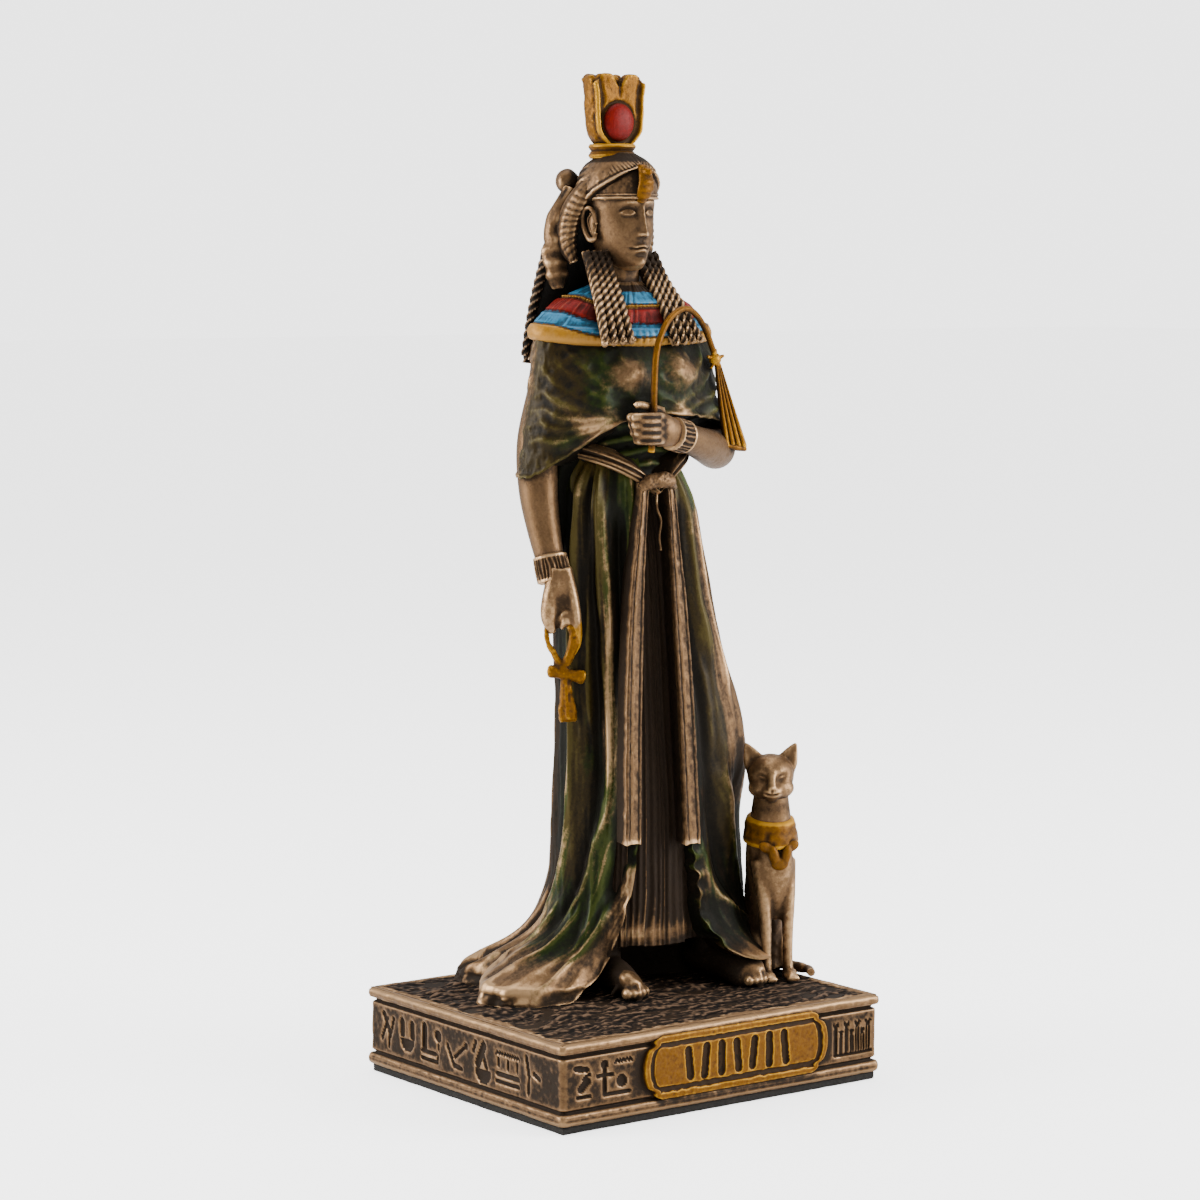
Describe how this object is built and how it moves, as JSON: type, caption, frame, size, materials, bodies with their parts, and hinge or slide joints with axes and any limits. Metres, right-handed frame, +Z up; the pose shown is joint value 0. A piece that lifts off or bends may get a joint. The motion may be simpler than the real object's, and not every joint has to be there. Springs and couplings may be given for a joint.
{
  "type": "egyptian goddess figurine with cat",
  "caption": "Small painted figurine of a robed ancient Egyptian goddess of order, holding an ankh and a flail, with a seated cat, on a rectangular plinth.",
  "frame": {"origin": "middle of the underside, on the surface the figurine stands on", "axes": "+Z up along the figure, -Y out of the front with the name plate, +X towards the figure's left hand and the cat"},
  "size_m": [0.035, 0.0301, 0.0889],
  "materials": {
    "bronze_resin": "satin cold-cast bronze resin with a dark wash in the hollows",
    "green_paint": "translucent olive green paint, rubbed off the ridges",
    "gold_paint": "satin gold paint with dark lines",
    "red_paint": "brick red paint",
    "blue_paint": "sky blue paint",
    "dark_ground": "rough dark brown ground with worn bronze specks",
    "base_foam": "black foam pad"
  },
  "bodies": {
    "root": {"statue": "bronze_resin", "base_pad": "base_foam"}
  },
  "joints": []
}
